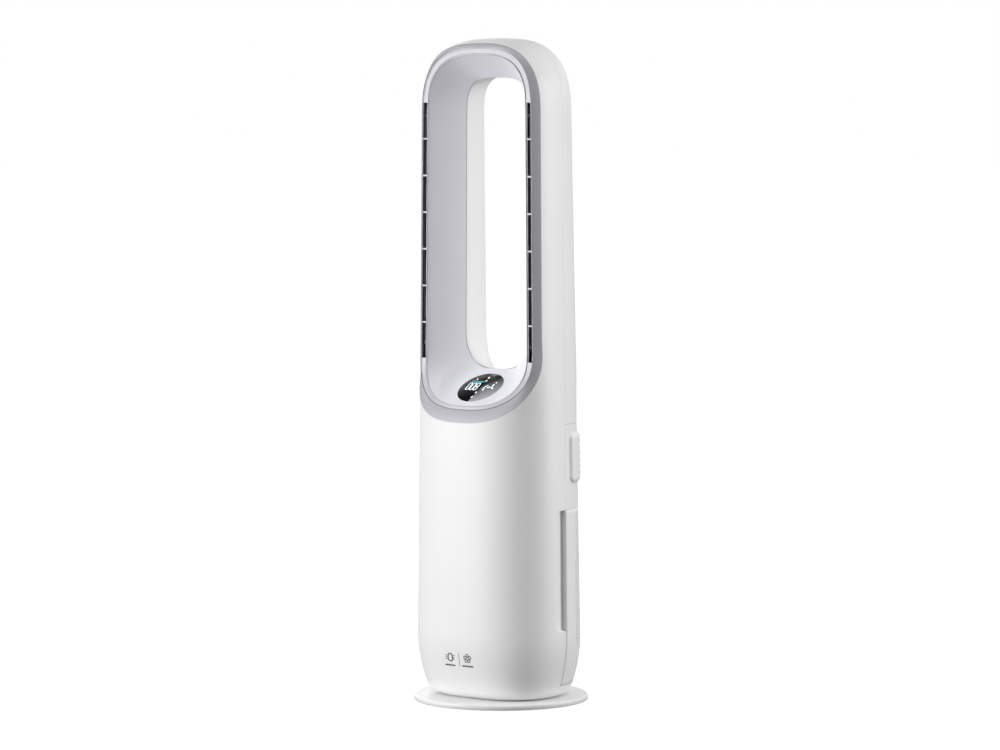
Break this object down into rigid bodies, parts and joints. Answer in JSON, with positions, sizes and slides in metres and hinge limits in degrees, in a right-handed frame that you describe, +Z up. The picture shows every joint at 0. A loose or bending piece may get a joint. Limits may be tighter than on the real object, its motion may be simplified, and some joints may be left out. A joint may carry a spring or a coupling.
{
  "type": "bladeless tower fan",
  "caption": "Slim bladeless tower fan with a tall open air loop, a round display in the loop's floor, a filter door at the back and a round swivelling foot.",
  "frame": {"origin": "centre of the round foot, on the floor", "axes": "+Z up, -Y out of the front of the loop, +X to the viewer's right when the front is looked at"},
  "size_m": [0.2766, 0.2766, 1.0495],
  "materials": {
    "shell_white": "white ABS, satin moulded",
    "trim_grey": "lilac-grey ABS, satin",
    "trim_pale": "pale grey ABS, satin",
    "smoked_lens": "smoked acrylic, polished",
    "inner_black": "dark ABS, as moulded",
    "nylon": "natural nylon, as moulded",
    "circuit_board": "lacquered laminate",
    "winding": "enamelled copper wire",
    "steel": "zinc-plated steel",
    "iron": "as cast",
    "rubber": "moulded rubber",
    "foam": "closed-cell foam",
    "filter_paper": "pleated filter paper",
    "screen_mesh": "woven prefilter mesh"
  },
  "bodies": {
    "base": {"base_disc": "shell_white", "base_plate": "inner_black", "ballast_ring": "iron", "base_screw_1": "steel", "base_screw_2": "steel", "base_screw_3": "steel", "foot_ring": "rubber", "lead_inlet": "inner_black", "pivot_hub": "nylon", "thrust_washer": "nylon", "swivel_gear": "nylon", "hub_nut": "steel"},
    "tower": {"front_shell": "shell_white", "rear_loop_shell": "shell_white", "rear_mid_panel": "shell_white", "rear_skirt": "shell_white", "vent_hood": "shell_white", "front_bezel": "trim_grey", "outlet_ring": "trim_pale", "inner_funnel": "trim_grey", "display_lens": "smoked_lens", "display_tray": "inner_black", "display_board": "circuit_board", "left_duct": "nylon", "right_duct": "nylon", "left_slot_vanes": "inner_black", "right_slot_vanes": "inner_black", "air_splitter": "nylon", "tower_floor": "inner_black", "swivel_bracket": "steel", "swivel_motor": "steel", "bay_floor": "inner_black", "fan_plate": "inner_black", "filter_seal": "foam", "inlet_guard": "inner_black", "inlet_cone": "inner_black", "fan_housing": "inner_black", "motor_can": "steel", "motor_stator": "winding", "lower_bearing": "steel", "upper_bearing": "steel", "motor_mount": "inner_black", "isolator_ring": "rubber", "board_carrier": "inner_black", "main_board": "circuit_board", "power_board": "circuit_board", "transformer": "winding", "air_sensor": "inner_black", "supply_lead": "rubber"},
    "impeller": {"impeller": "inner_black", "impeller_nut": "steel", "fan_shaft": "steel", "motor_rotor": "iron"},
    "pinion": {"drive_pinion": "nylon"},
    "filter": {"filter_media": "filter_paper", "filter_bottom_cap": "inner_black", "filter_top_cap": "inner_black", "filter_pull_tab": "rubber"},
    "filter_door": {"filter_door": "shell_white", "prefilter_screen": "screen_mesh"}
  },
  "joints": [
    {"name": "swivel", "type": "hinge", "parent": "base", "child": "tower", "pos_m": [0, 0, 0.0152], "axis": [0, 0, 1], "range_deg": [-175, 175]},
    {"name": "fan_spin", "type": "hinge", "parent": "tower", "child": "impeller", "pos_m": [0, 0, 0.35], "axis": [0, 0, 1], "continuous": true},
    {"name": "pinion_turn", "type": "hinge", "parent": "tower", "child": "pinion", "pos_m": [0, -0.0484, 0.024], "axis": [0, 0, 1], "range_deg": [-525, 525]},
    {"name": "door_slide", "type": "slide", "parent": "tower", "child": "filter_door", "axis": [0, 1, 0], "range_m": [0, 0.3]},
    {"name": "filter_slide", "type": "slide", "parent": "tower", "child": "filter", "axis": [0, 1, 0], "range_m": [0, 0.24]}
  ],
  "couplings": [
    {"joint": "pinion_turn", "follows": "swivel", "ratio": 3},
    {"joint": "filter_slide", "follows": "door_slide", "ratio": 0.8}
  ]
}
